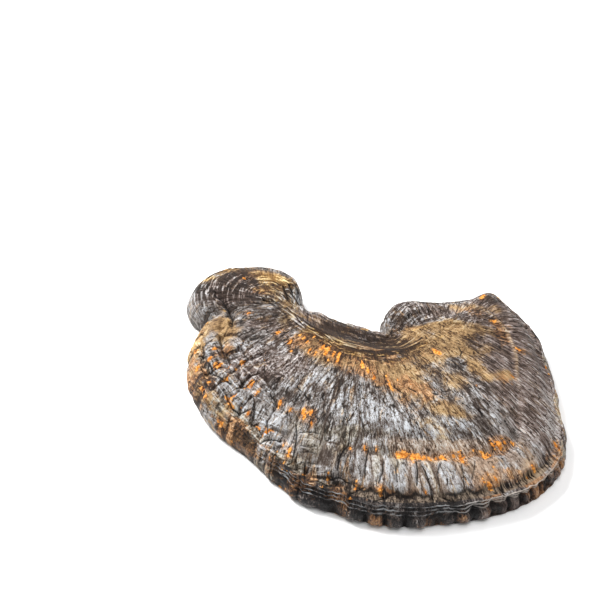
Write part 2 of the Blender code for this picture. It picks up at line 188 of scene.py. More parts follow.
# Patches of colour: x, y, reach along x and y, weight. The first ones, along the crest, are also smooth.
VELVET = (
    (10, 0, 14, 6, 0.7), (30, -10, 12, 5, 0.25), (32, -30, 16, 3, 0.5), (-22, 8, 12, 6, 0.5),
    (20, -6, 14, 10, 0.5), (-79, 31, 9, 6, 0.9), (-36, 36, 10, 3, 0.5), (-20, 30, 14, 4, 0.3),
    (26, 20, 19, 11, 1.0), (36, 35, 10, 6, 1.0), (18, 36, 12, 3, 0.9), (2, 7, 18, 5, 0.85),
    (-34, 21, 9, 7, 0.7), (-22, 14, 12, 5, 0.8),
)
PATCHES = {
    "ochre": VELVET + (
        (-55, 60, 11, 5, 1.2), (-88, 61, 7, 4, 0.6), (-81, 66, 7, 2.5, 0.6), (50, 38, 6, 4, 0.6),
        (51, 26, 4, 3, 0.5), (43, 22, 5, 3, 0.4), (45, 14, 5, 4, 0.8), (52, 9, 4, 3, 0.8),
        (61, 12, 5, 4, 0.8), (36.5, 14, 4.5, 3, -1.0), (-91, 27, 4.5, 8, 1.3), (-74, 24, 6, 5, 0.7),
        (36, -13, 10, 3, 0.75), (31, -25, 5, 5, 0.5), (73, -33, 6, 6, 0.9), (53, -38, 8, 8, 0.6),
        (20, -36, 20, 2.5, 0.6), (-88, -2, 5, 12, 0.75), (-71, 15, 5, 3, 0.45), (38, 53, 12, 5, 0.6),
        (-46, 44, 6, 7, 0.6), (-56, 52, 8, 3, 0.7), (26, 0, 6, 6, -0.2), (34, 3, 5, 4, 0.3),
        (14, 29, 4, 6, 0.5), (34, -33, 8, 3, 0.3), (-10, 18, 12, 5, 0.6), (38, 4, 7, 6, 0.4),
        (14, 20, 4, 4, 0.4), (-35, 23, 6, 4, 0.4), (-32, -20, 5, 5, 0.2), (2, 22, 16, 6, 0.35),
        (14, 27, 5, 5, 0.5), (-55, 44, 12, 5, 0.35), (-46, 32, 6, 6, 0.45), (-25, 24, 8, 5, 0.4),
        (-68, 65, 14, 4, 0.5), (-70, -11, 6, 5, -0.5), (26, -21, 6, 3, 0.4), (-70, -22, 8, 6, 0.4),
        (-55, -33, 8, 5, 0.2), (55, 55, 7, 4, 0.4), (88, 6, 4, 14, 0.5), (38, -29, 6, 4, 0.4),
    ),
    "rust": (
        (38, -31, 6, 4, 0.5), (-44, -40, 4, 3, 0.7), (-28, -47, 4, 3, 0.7), (-16, -50, 4, 2, 0.7),
        (-56, -30, 4, 3, 0.6), (80, -36, 6, 5, 0.5), (44, -56, 4, 3, 0.6), (88, -22, 4, 8, 0.5),
        (-14, -57, 5, 3, 0.6), (55, 44, 6, 4, 0.8), (59, 36, 4, 5, 0.7), (60, 10, 6, 4, 0.6),
        (69, 30, 3, 3, 0.8), (-61, 49.5, 4, 2.5, 0.9), (-72, 14, 4, 3, 0.4), (40, 50, 10, 5, 0.5),
        (55, -38, 6, 7, 0.4), (35, -32, 6, 3, 0.3), (60, -25, 5, 2, 0.6), (-70, -11, 6, 5, -0.5),
        (75, -34, 3, 8, 0.5), (-14, -52, 6, 2, 0.7), (6, -53, 8, 2, 0.6), (20, -52, 4, 3, 0.6),
        (-8, 2, 14, 5, 0.6), (35, -34, 8, 3, 0.4), (-35, -48, 8, 3, 0.3), (52, -42, 5, 4, 0.7),
        (70, -38, 6, 3, 0.8), (0, 14, 18, 7, 0.9), (20, -6, 14, 10, 0.5), (-62, 60, 16, 6, 0.6),
        (-93, 14, 4, 14, 0.5), (54, -45, 7, 4, 0.5), (8, 36, 16, 4, 0.5), (-91, 8, 5, 10, 0.4),
        (-76, 14, 5, 5, 0.5), (-70, -20, 7, 5, 0.6), (-52, -36, 7, 4, 0.3), (-68, -24, 6, 5, 1.0),
        (-38, -36, 6, 8, 0.2), (-3, -52, 12, 3, 0.5), (2, -61, 9, 2.5, 0.9), (31, -59, 4, 2.5, 0.7),
        (60, -51, 8, 3, 0.6), (-40, -47, 8, 3, 0.4), (-63, -28, 6, 4, 0.7), (55, -42, 6, 5, 0.5),
        (72, -37, 9, 3, 0.8), (84, -24, 4, 6, 0.6), (12, -3, 14, 4, 0.4), (-40, 18, 12, 5, 0.5),
        (88, 10, 5, 12, 0.3),
    ),
    # Darker patches: partly painted shade, in the hollow behind the crest, in dips and along the front
    # margin, and partly the crust's own darker zones.
    "dark": (
        (-2, 27, 9, 3.5, 0.8), (-28, -49.5, 18, 3.5, 0.8), (-14, -45, 8, 3, 0.4), (-24, -39, 8, 4, 0.3),
        (-88, 20, 4, 4, -0.3), (-56, 15, 16, 8, 0.35), (-88, -3, 6, 8, 1.1), (-41, -9, 5, 4, 0.5),
        (-31, -17, 5, 5, 0.25), (43, 23, 4, 4, 0.6), (31, 5, 6, 4, 0.5), (68, -17, 8, 6, 0.35),
        (23, 44, 6, 4, 0.3), (-24, 18, 7, 9, 0.35), (3, 20, 11, 4, 0.9), (-12, 27, 10, 5, 1.0),
        (24, 30, 6, 4, 0.3), (6, 24, 12, 5, 0.8), (45, 37, 5, 3, 0.4), (72, -5, 4, 3, 0.9),
        (44, 31, 4, 3, 0.6), (-71, 44, 4, 6, 0.4), (-54, -38, 8, 5, 0.6), (-12, -38, 10, 6, 0.4),
        (-24, -37, 8, 5, 0.3), (43, 30, 6, 8, 0.4), (24, 36, 8, 4, 0.5), (-13, 13, 14, 6, 0.2),
        (-73, 66, 9, 5, 0.8), (-50, 33, 8, 5, 0.3), (-28, 26, 12, 8, 0.8), (-32, -36, 16, 4, 0.2),
        (-38, -46, 12, 5, 0.35), (-80, -2, 6, 10, 0.4), (62, 30, 10, 14, 0.4), (45, 42, 14, 10, 0.2),
        (-17, -21, 10, 6, 0.5), (-70, 55, 28, 12, 0.5), (-60, 30, 14, 14, 0.5), (-26, -20, 9, 6, 0.5),
        (-51, -2, 7, 4, 0.7), (-74, -20, 8, 7, 0.3), (3, 21, 17, 7, 1.6), (-9, 15, 12, 3.5, 0.6),
        (-20, 29, 13, 7, 1.0), (-10, 9, 24, 5, 0.35), (-11, -27.5, 10, 2.2, 0.45), (6, -27.5, 12, 2.2, 0.7),
        (22, -27, 10, 2, 0.2), (3, 40, 5, 4, 0.5), (46, -30, 4, 3, 0.4), (63, -28, 6, 3, 0.4),
        (37, 13, 6, 4, 0.9), (48, -19, 9, 3, 0.45), (-12, -40, 6, 6, 0.5), (3, 36, 8, 5, 0.5),
        (23, 43, 7, 4, 0.2), (-72, 54, 16, 6, 0.6), (-54, 33, 12, 6, 0.5), (-74, 13, 6, 4, 0.5),
        (-55, 3, 14, 3.5, 0.35), (-36, -11, 10, 3, 0.6), (70, -39, 8, 2.5, 0.3), (-8, -53, 16, 3, 0.5),
        (14, -54, 20, 2.5, 0.5), (40, -52, 14, 2.5, 0.6), (51, 60, 4, 3, 1.0),
    ),
    # Where painted glints lie: light strokes on the wrinkles, with the crust a little darker between them.
    "pale": (
        (-58, 38, 16, 7, 0.7), (-72, 54, 14, 6, 0.5), (6, 50, 6, 5, 0.5), (86, 4, 5, 12, 0.8),
        (84, -14, 5, 12, 0.6), (28, -28, 14, 4, 0.7), (-56, 13, 16, 7, 1.2), (-45, 5, 10, 5, 1.0),
        (-37, -4, 9, 5, 1.0), (-47, 31, 8, 4, 0.6), (-67, -11, 9, 6, 0.6), (-15, -12, 11, 8, 0.7),
        (4, -18, 14, 7, 1.0), (22, -22, 10, 5, 0.6), (38, -18, 6, 3, 1.0), (-8, 28, 5, 2.5, 1.6),
        (6, 42, 7, 4, 0.9), (-86, 45, 7, 6, 0.7), (-10, -43, 7, 5, 0.9), (3, -46, 6, 5, 0.8),
        (31, -44, 7, 5, 0.8), (58, -12, 14, 6, 0.5), (80, -5, 8, 12, 0.3), (-27, -33, 6, 6, 0.3),
    ),
    "brown": (
        (78, 12, 20, 30, 0.8), (-76, 57, 16, 8, 0.6), (-54, 6, 20, 10, 0.8), (62, -46, 22, 10, 0.8),
        (58, 42, 26, 24, 1.2), (70, 8, 18, 22, 0.7), (-68, 53, 24, 11, 1.0), (-54, 28, 20, 9, 0.7),
        (-50, 6, 24, 6, 0.5), (-22, 34, 20, 9, 1.2), (6, 27, 16, 9, 1.2), (14, 52, 20, 10, 0.7),
        (84, -14, 8, 16, 0.7), (20, -30, 28, 4, 0.4),
    ),
    "olive": (
        (-8, -27, 16, 4, 0.6), (-14, -34, 5, 5, 0.5), (2, -43, 3, 8, 0.6), (-38, -22, 6, 8, 0.5),
        (-47, 33, 7, 6, 0.6), (-28, -34, 8, 13, 0.7), (11, -39, 3, 6, 0.9), (18, -35, 22, 3, 0.7),
        (-64, -18, 10, 8, 0.5), (-86, 36, 8, 5, 0.4), (-78, 24, 6, 5, 0.6), (10, -54, 40, 3, 0.6),
        (-48, -40, 12, 4, 0.7),
    ),
    "gold": (
        (-92, 33, 3, 7, 0.15), (-60, 50, 6, 2, 0.4), (-91, 28, 4, 8, 0.45), (-89, 62, 6, 4, 0.8),
        (-81, 68, 8, 2.5, 0.9), (-57, 60, 11, 6, 0.9), (-33, 24, 7, 2.5, 0.7), (-24, 18, 7, 2, 0.8),
        (-12, 13.5, 9, 1.5, 0.8), (57, 66, 5, 3, 0.6), (-30, 42, 10, 2, 0.4),
    ),
    "arcs": (
        (4, 50, 9, 10, 0.6), (0, 24, 24, 8, 1.3), (-31, -33, 5, 8, 0.45), (-94, 56, 9, 14, 1.2),
        (-72, 56, 20, 12, 1.3), (-46, 56, 7, 8, 1.0), (6, 50, 12, 9, 1.0), (-46, 52, 8, 9, 1.2),
        (30, 42, 16, 6, 0.8), (-30, 38, 16, 7, 0.7), (-72, -14, 14, 9, 0.5), (-88, 4, 6, 14, 0.4),
    ),
    "sand": (
        (51, -38, 6, 7, 0.8), (73, -33, 6, 6, 0.6), (34, -31, 14, 3, 0.7),
    ),
    "light": (
        (-60, -2, 9, 6, 0.6), (-80, 22, 8, 6, 0.6), (-61, -12, 9, 5, 0.35), (-47, -25, 10, 4, 0.45),
        (30, -22, 14, 5, 0.3), (4, -50, 12, 4, 0.5), (14, -7, 4, 4, 0.3), (24, -47, 10, 4, 0.3),
        (-44, -34, 10, 5, 0.4), (8, -31, 8, 4, 0.4), (44, -20, 14, 4, 0.3), (-8, -12, 8, 5, 0.4),
        (-40, -18, 8, 5, 0.3), (-66, 8, 8, 8, 0.4), (-4, -21, 6, 4, 0.4), (15, -7, 4, 4, 0.4),
        (14, 22, 4, 5, 0.4), (5, 46, 4, 4, 0.3), (-24, -40, 10, 5, 0.1), (-57, 60, 10, 5, 0.35),
        (-88, 62, 6, 4, 0.4), (-60, -22, 8, 4, 0.3), (84, 0, 6, 16, 0.4), (-40, -19, 7, 8, 0.4),
        (-29, -29, 6, 5, 0.2), (-15, -9, 10, 4, 0.35), (10, -30.5, 20, 2, 0.3), (-50, -24, 9, 5, 0.3),
        (40, -23, 14, 5, 0.35), (50, -57, 12, 4, 0.5), (-66, 4, 7, 5, 0.4), (-63, -20, 9, 6, 0.8),
        (83, 9, 5, 6, 0.6), (72, -38, 12, 5, 0.8), (56, -54, 22, 4, 0.7), (35, -27, 8, 4, 0.5),
        (8, -33, 6, 6, 0.3), (14, 27, 4, 5, 0.6), (-77, 53, 5, 4, 0.3), (-97, 51, 4, 6, 0.6),
        (-88, 20, 7, 10, 0.5), (-13, -10, 6, 5, 0.5), (48, 53, 9, 6, 0.5), (-33, -16, 10, 8, 0.15),
        (70, 15, 18, 25, 0.35), (43, 36, 8, 6, 0.4), (3, -31, 10, 8, 0.6), (32, -27, 18, 4, 0.6),
        (-26, -38, 8, 5, 0.5), (-72, 13, 5, 8, 0.5), (-50, 30, 9, 6, 0.7), (20, -54, 30, 4, 0.4),
        (84, 0, 7, 13, 0.9), (70, 2, 8, 6, 0.3), (0, -27, 10, 5, 0.4), (36, -30, 18, 5, 0.7),
        (4, -49, 12, 4, 0.5), (58, -42, 10, 5, 0.6), (80, -25, 8, 12, 0.8), (66, -12, 14, 10, 0.2),
        (-66, -19, 6, 6, 0.6), (-40, 0, 12, 6, 0.5), (-84, 40, 6, 6, 0.5),
    ),
}
# The highest value of a mask, where it is not 1.
HIGHEST = {"dark": 2.0, "arcs": 1.5, "light": 1.5}


def curve(points, steps):
    """Catmull-Rom spans of this many steps between the points, except the first and the last one."""
    share = np.arange(steps)[:, None] / steps
    spans = [
        0.5 * (2 * b + (c - a) * share + (2 * a - 5 * b + 4 * c - d) * share**2
               + (3 * b - a - 3 * c + d) * share**3)
        for a, b, c, d in zip(points, points[1:], points[2:], points[3:])
    ]
    return np.concatenate(spans)


def smooth_closed(rows, samples):
    """A closed curve through the rows, sampled evenly along its length seen from above."""
    points = np.array(rows, float)
    line = curve(np.concatenate([points[-1:], points, points[:2]]), 40)
    closed = np.concatenate([line, line[:1]])
    step = np.hypot(*(closed[1:, :2] - closed[:-1, :2]).T)
    along = np.concatenate([[0], np.cumsum(step)])
    wanted = np.arange(samples) * along[-1] / samples
    return np.stack([np.interp(wanted, along, column) for column in closed.T], 1)


def crest_at(place):
    """Points of the crest at the given places along it, 0 at the left ear and 1 at the right one."""
    crest = np.array(CREST, float)
    step = np.hypot(*np.diff(crest[:, :2], axis=0).T)
    along = np.concatenate([[0], np.cumsum(step)]) / step.sum()
    place = np.clip(place, 0, 1)
    return np.stack([np.interp(place, along, column) for column in crest.T], 1)


def softened(values, width):
    """Values round the closed outline, averaged with their neighbours."""
    reach = np.arange(-3 * width, 3 * width + 1)
    weights = np.exp(-0.5 * (reach / width) ** 2)
    return sum(w * np.roll(values, k, 0) for k, w in zip(reach, weights)) / weights.sum()


def bump(x, y, at_x, at_y, reach_x, reach_y, height):
    """A rounded swelling, or a hollow where the height is negative."""
    return height * np.exp(-((x - at_x) / reach_x) ** 2 - ((y - at_y) / reach_y) ** 2)


def spread(x, y, patches):
    return sum(bump(x, y, *patch) for patch in patches)


def beside(x, y, route):
    """Signed distance from a route, and the place along it from 0 to 1."""
    route = np.array(route, float).reshape(-1, 2)
    best = np.full(x.shape, np.inf)
    signed, place = np.zeros(x.shape), np.zeros(x.shape)
    for k, (a, b) in enumerate(zip(route, route[1:])):
        along = b - a
        share = np.clip(((x - a[0]) * along[0] + (y - a[1]) * along[1]) / (along @ along), 0, 1)
        off_x, off_y = x - a[0] - share * along[0], y - a[1] - share * along[1]
        gap = np.hypot(off_x, off_y)
        nearer = gap < best
        best = np.where(nearer, gap, best)
        signed = np.where(nearer, gap * np.sign(along[0] * off_y - along[1] * off_x), signed)
        place = np.where(nearer, (k + share) / (len(route) - 1), place)
    return signed, place


def crease(x, y, route, width, depth):
    """A groove along a route, full depth at its start and fading out at its end."""
    signed, place = beside(x, y, route)
    return -depth * (1 - place) ** 0.5 * hill(signed, 0, width)


def hill(value, middle, width):
    return np.exp(-(((value - middle) / width) ** 2))


def ramp(value, low, high):
    """0 below low, 1 above high, and smooth between."""
    share = np.clip((value - low) / (high - low), 0, 1)
    return share * share * (3 - 2 * share)


def fall(value, low, high):
    """1 below low and 0 above high."""
    return 1 - ramp(value, low, high)


def drawn_between(place, full, fading):
    """1 along a route, with soft ends: full from this place, and fading from that one."""
    return ramp(place, -0.02, full) * fall(place, fading, 1.02)


def grain(u, v, around, seed):
    """Gradient noise, about -1 to 1, that repeats after `around` cells in u."""
    v = v - v.min()
    angle = np.random.default_rng(seed).uniform(0, TAU, (around, int(v.max()) + 2))
    left, low = np.floor(u).astype(int), np.floor(v).astype(int)
    fu, fv = u - left, v - low
    ease_u, ease_v = fu**3 * (fu * (6 * fu - 15) + 10), fv**3 * (fv * (6 * fv - 15) + 10)
    corner = {}
    for du in (0, 1):
        for dv in (0, 1):
            turned = angle[(left + du) % around, low + dv]
            corner[du, dv] = np.cos(turned) * (fu - du) + np.sin(turned) * (fv - dv)
    near = corner[0, 0] + ease_v * (corner[0, 1] - corner[0, 0])
    far = corner[1, 0] + ease_v * (corner[1, 1] - corner[1, 0])
    return 1.5 * (near + ease_u * (far - near))


class Cap:
    """The outline's values, line by line, and the growth coordinates of the upper side."""

    def __init__(self):
        margin = smooth_closed(MARGIN, LINES)
        self.round = np.arange(LINES) / LINES
        self.turn = self.round * TAU
        self.edge = margin[:, :2]
        self.lip_z, self.rim, self.rounded = margin[:, 2:5].T
        self.place = softened(margin[:, 5], SOFTENING)
        self.crest = crest_at(self.place)
        self.step = np.interp(self.place, *zip(*STEP))
        across = self.edge - self.crest[:, :2]
        reach = np.hypot(*across.T)
        self.across = across / reach[:, None]
        self.start = self.crest[:, :2] + CREST_HALF_WIDTH * self.across
        self.lip = self.edge - self.rim[:, None] * self.across
        behind = (self.edge[:, 1] > self.crest[:, 1]) & (reach < 34)
        gap = (self.crest[:, 0] - self.edge[:, 0]) / 28
        back = softened(behind * np.exp(-(gap**2)), SOFTENING)
        self.back = np.maximum(back, 1 - np.clip(self.place / 0.08, 0, 1))
        self.front = 1 - self.back
        inner = np.linspace(0, 1, INNER_RINGS + 1)[:, None] * self.step
        outer = np.linspace(0, 1, OUTER_RINGS + 1)[1:, None] ** 0.85 * (1 - self.step) + self.step
        self.out = np.concatenate([inner, outer])
        self.beyond = np.clip((self.out - self.step) / (1 - self.step), 0, 1)
        plan = self.start + self.out[..., None] * (self.lip - self.start)
        self.x, self.y = plan[..., 0], plan[..., 1]
        self.reach = np.hypot(*(self.lip - self.start).T)
        self.travel = self.out * self.reach
        self.spacing = np.hypot(*np.moveaxis(np.roll(plan, -1, 1) - np.roll(plan, 1, 1), -1, 0)) / 2
        self.crowd = np.clip(np.log2(SPACING / np.maximum(self.spacing, 0.01)), 0, 4)
        self.u = np.broadcast_to(self.round, self.out.shape)


def smooth_height(cap):
    """The solid's own upper side."""
    x, y, out, beyond, turn = cap.x, cap.y, cap.out, cap.beyond, cap.turn
    z = cap.lip_z + (cap.crest[:, 2] - cap.lip_z) * (1 - out**1.9) ** 0.9
    z = z + cap.front * 1.7 * np.sin(math.pi * beyond) ** 0.8
    z -= cap.front * (0.5 + 5 * (cap.step - 0.63)) * hill(out, cap.step, 0.03)
    z -= cap.front * 1.2 * hill(beyond, LIP_GROOVE, 0.1)
    z -= cap.back * 3.2 * np.sin(math.pi * out) ** 2
    ribs = 0.6 * np.sin(31 * turn + 1.7 * np.sin(3 * turn)) + 0.4 * np.sin(43 * turn + 2.0)
    z += cap.front * 0.9 * ribs * np.clip((out - 0.4) / 0.4, 0, 1) * (1 - out**8)
    for swelling in BUMPS:
        z += bump(x, y, *swelling)
    for width, depth, *route in CREASES:
        z += crease(x, y, route, width, depth)
    return z


def streaks(cap, width, length, seed, bend=0.8, wiggle=0.0):
    """Long grain along the growth lines, in cells of about this width and length in mm."""
    sway = bend * grain(cap.u * 24, cap.travel / 14, 24, seed + 1)
    sway = sway + wiggle * grain(cap.u * 90, cap.travel / 4.5, 90, seed + 2)
    total = np.zeros(cap.out.shape)
    weights = np.zeros(cap.out.shape)
    for around in (15, 30, 60, 120, 240):
        cell = cap.spacing * LINES / around
        weight = np.exp(-2.0 * np.log2(cell / width) ** 2)
        u = cap.u * around + sway * around / 120
        total += weight * grain(u, cap.travel / length, around, seed + around)
        weights += weight**2
    return total / np.sqrt(weights + 0.02)


def ridged(value, sharp):
    """Grain as plates with narrow valleys between them: 0 in the valleys, near 1 on the plates."""
    return 1 - np.exp(-np.abs(value) * sharp)


def facets(x, y, size, seed):
    """Crumpled plates about this wide: signed distance from the creases between them, and their tilts."""
    random = np.random.default_rng(seed)
    across, along = np.meshgrid(np.arange(*PLATES_X, size), np.arange(*PLATES_Y, size))
    middle = np.stack([across.ravel(), along.ravel()], 1)
    middle += random.uniform(-0.46, 0.46, middle.shape) * size
    tilt = random.uniform(-0.17, 0.17, middle.shape)
    px = x + 1.6 * grain(x / 7, y / 7, 64, seed + 1) + 0.6 * grain(x / 2.6, y / 2.6, 64, seed + 2)
    py = y + 1.6 * grain(x / 7, y / 7, 64, seed + 3) + 0.6 * grain(x / 2.6, y / 2.6, 64, seed + 4)
    side, tilted = np.full(x.shape, 4.0), np.zeros(x.shape)
    for row in range(len(x)):
        far = (px[row][:, None] - middle[:, 0]) ** 2 + (py[row][:, None] - middle[:, 1]) ** 2
        order = np.argpartition(far, 1, axis=1)[:, :2]
        two = np.take_along_axis(far, order, 1)
        first = np.where(two[:, 0] <= two[:, 1], order[:, 0], order[:, 1])
        other = np.where(two[:, 0] <= two[:, 1], order[:, 1], order[:, 0])
        apart = np.hypot(*(middle[first] - middle[other]).T)
        gap = np.abs(two[:, 1] - two[:, 0]) / (2 * apart)
        side[row] = np.where(first < other, gap, -gap)
        tilted[row] = (tilt[first] * (np.stack([px[row], py[row]], 1) - middle[first])).sum(1)
    return side, tilted


def fine_relief(cap):
    """What the crust adds to the solid's form, in mm, and lines and regions that the colours follow."""
    x, y, out, beyond, front = cap.x, cap.y, cap.out, cap.beyond, cap.front
    settled = ramp(cap.travel, 0.5, 5.0) * fall(cap.crowd, 2.6, 3.6)
    left = ramp(-x, 30, 56) * ramp(out, 0.30, 0.65) * ramp(front, 0.3, 0.9) * (1 - 0.8 * ramp(y, 14, 34))
    velvet = np.clip(spread(x, y, VELVET), 0, 1) * (1 - left)
    low_left = 0.85 * ramp(-x, 2, 26) * ramp(beyond, 0.60, 0.78) * ramp(front, 0.3, 0.9)
    left = np.maximum(left, low_left * fall(y, 0, 20))
    last = ramp(beyond, 0.03, 0.14) * fall(beyond, 0.78, 0.9) * front * (1 - left)
    last = last * fall(cap.place, 0.75, 0.80)
    long = np.maximum(ramp(x, 36, 62) * (1 - 0.8 * last), cap.back * ramp(-x, 10, 40))
    lobes = np.abs(np.sin(27 * cap.turn + 1.6 * np.sin(4 * cap.turn) + 0.9 * np.sin(11 * cap.turn)))
    brink = beyond - (0.76 + 0.10 * lobes**0.8 + 0.03 * grain(cap.u * 50, beyond, 50, 91))
    brink = brink - 0.4 * ramp(-x, 36, 56)
    fringe = front * fall(cap.place, 0.76, 0.82)
    lumpy = ramp(brink, -0.01, 0.05) * fringe

    wrinkle = streaks(cap, 2.9, 11, 11, bend=0.6, wiggle=0.35)
    long_wrinkle = streaks(cap, 1.8, 22, 17, bend=0.3)
    wrinkle = wrinkle + long * (long_wrinkle - wrinkle)
    fold = streaks(cap, 6.0, 26, 29, bend=0.5, wiggle=0.2)
    rib = streaks(cap, 6.5, 40, 37, bend=0.4)
    terrace = grain(cap.u * 16, cap.travel / 4.2, 16, 47)
    crease_side, tilted = facets(x, y, 10.5, 61)
    shards = grain(cap.u * 110, cap.travel / 2.6, 110, 71)
    lumps = grain(cap.u * 60, cap.travel / 4.5, 60, 79) + 0.5 * grain(cap.u * 130, cap.travel / 2.5, 130, 80)

    z = (1 - last) * (1 - 0.7 * left) * 0.75 * (ridged(wrinkle, 2.4) - 0.55)
    z += (1 - last) * (1 - left) * (1 - 0.5 * long) * 0.55 * (ridged(fold, 2.0) - 0.55)
    z += last * (1.15 * (ridged(rib, 3.4) - 0.70) + 0.15 * (ridged(wrinkle, 2.4) - 0.5))
    z += 0.15 * terrace - 0.4 * front * hill(out, cap.step - 0.12, 0.02)
    z += left * (1.7 * tilted - 1.3 * hill(crease_side, 0, 0.9) + 0.18 * shards)
    z += lumpy * (1.1 * lumps - 0.9) + 0.5 * fringe * hill(brink, -0.05, 0.05)
    z *= settled * (1 - 0.8 * ramp(out, 0.965, 1.0)) * (1 - 0.5 * velvet)

    side = np.full(x.shape, 2.5)
    here = np.zeros(x.shape)
    for depth, *route in CRACKS:
        signed, place = beside(x, y, route)
        ends = drawn_between(place, 0.12, 0.85)
        z -= depth * ends * hill(signed, 0, 0.7)
        weight = ends * hill(signed, 0, 1.5) * min(1.0, depth / 1.1)
        side = np.where(weight > here, np.clip(signed, -2.5, 2.5), side)
        here = np.maximum(here, weight)
    crest_lines = np.zeros(x.shape)
    for height, *route in RIDGES:
        signed, place = beside(x, y, route)
        ends = drawn_between(place, 0.15, 0.8)
        z += height * ends * hill(signed, 0, 0.9)
        crest_lines = np.maximum(crest_lines, ends * height / 0.8 * hill(signed, 0, 0.8))
    masks = {
        "wrinkle": wrinkle,
        "fold": last * rib + (1 - last) * fold,
        "facet": np.where(left > 0.02, crease_side, 4.0),
        "brink": brink * 18,
        "settled": settled,
        "crack_side": side,
        "crack_here": here,
        "old_edge": crest_lines,
        "last": last,
        "left": left,
        "long": long,
    }
    return z, masks


def colour_masks(cap, x, y, travel, level, lines):
    """Where the crust is ochre, gold, orange, brown, olive or darker, partly as painted shade, and where
    painted glints lie, also on the rim.
    """
    u = np.broadcast_to(cap.round, x.shape)
    left, beyond = lines["left"], np.concatenate([cap.beyond, 1 + level[len(cap.beyond):]])
    front = np.broadcast_to(cap.front, x.shape)
    broad = grain(u * 40, travel / 9, 40, 101)
    patchy = grain(u * 70, travel / 8, 70, 103) + 0.5 * grain(u * 150, travel / 3.5, 150, 104)
    margin = ramp(beyond, 0.62, 0.95) * left * fall(y, 36, 44)
    warm = margin * (1 - 0.75 * ramp(x, -72, -52))
    out = np.concatenate([cap.out, np.ones((len(x) - len(cap.out), LINES))])
    along = ramp(x, 2, 12) * fall(cap.place, 0.68, 0.72) * front
    dashes = np.clip(0.25 + 2.2 * grain(u * 140, travel / 12, 140, 109), 0, 1)
    ring = hill(out, cap.step - 0.005 + 0.012 * patchy, 0.022) * along
    sand = hill(out, cap.step - 0.055, 0.05) * along
    # Painted shade on the lowest part of the rim, where it turns under.
    below = ramp(level, 0.75, 1.0) * (1 - lines["ledged"])
    filled = np.maximum(lines["crack_here"], hill(lines["facet"], 0, 0.9) * left * (level < 0.4))
    filled = filled * left * np.clip(2.6 * patchy - 0.45, 0, 1) * fall(y, 34, 42)
    gilded = np.zeros(x.shape)
    for route in GOLD_LINES:
        signed, place = beside(x, y, route)
        gilded = np.maximum(gilded, hill(signed, 0, 0.8) * drawn_between(place, 0.1, 0.9))
    inner = cap.step - 0.12
    # A darker band along the inner growth ring: partly its own colour, partly painted shade in the groove
    # that the relief cuts there.
    dip = hill(out, inner, 0.022) * front * (1 - 0.5 * ramp(-x, 20, 60))
    # A band of painted glints just inside it.
    shine = hill(out, inner - 0.07, 0.04) * ramp(x, -60, -20) * fall(x, 30, 60) * front
    spacing = np.concatenate([cap.spacing, np.repeat(cap.spacing[-1:], len(x) - len(cap.out), 0)])
    flakes, halos = np.zeros(x.shape), np.zeros(x.shape)
    for at, k in zip(FLAKES, FLAKE_SIZES):
        ring_of, line_of = np.unravel_index(np.argmin((x - at[0]) ** 2 + (y - at[1]) ** 2), x.shape)
        off_line = (np.arange(LINES) - line_of + LINES // 2) % LINES - LINES // 2
        sideways = off_line * np.maximum(spacing[ring_of, line_of], 0.15)
        sideways = np.where(np.abs(off_line) > 60, 99, sideways)
        inward = travel - travel[ring_of, line_of]
        flakes += np.exp(-((sideways / (1.05 * k)) ** 2) - (inward / (2.2 * k)) ** 2)
        halos += np.exp(-((sideways / (2.6 * k)) ** 2) - (inward / (4.0 * k)) ** 2)
    more = {
        "ochre": warm * (0.2 + 1.1 * patchy) + 0.12 * broad,
        "rust": warm * (0.1 - 1.1 * patchy) + 0.75 * ring,
        "dark": 0.12 * broad + 0.25 * dip + below * (0.9 + 0.6 * broad),
        "pale": 0.35 * shine,
        "brown": -0.15 * broad,
        "olive": 0.1 * broad + margin * (0.5 + broad),
        "gold": gilded * (0.55 + patchy),
        "arcs": fall(out, 0.03, 0.16) * fall(x, 4, 16),
        "sand": sand + 0.12 * broad,
        "light": 0,
    }
    masks = {
        name: np.clip(spread(x, y, rows) + more[name], 0, HIGHEST.get(name, 1))
        for name, rows in PATCHES.items()
    }
    higher = 1 - 0.5 * ramp(level, 0.3, 0.8)
    masks["orange"] = np.clip(flakes + 0.9 * ring * dashes + 0.85 * filled, 0, 1) * higher
    masks["halo"] = np.clip(halos + 0.8 * ring, 0, 1) * higher
    comb = hill(beyond, 0.87, 0.09) * ramp(cap.place, 0.655, 0.69)
    masks["comb"] = comb * fall(cap.place, 0.78, 0.82)
    masks["ribs"] = ramp(x, -12, 10)
    lip = ramp(lines["brink"], -0.3, 0.5) * front * fall(cap.place, 0.78, 0.83)
    masks["lip"] = lip * (1 - 0.8 * ramp(-x, 4, 20))
    return masks


def section(points, steps):
    """The rim's section as a smooth line with this many steps between its points, without the first."""
    line = np.array([(0.0, 1.0), *points])
    inner = curve(np.concatenate([line[:1], line, line[-1:]]), steps)
    return np.concatenate([inner, line[-1:]])[1:]


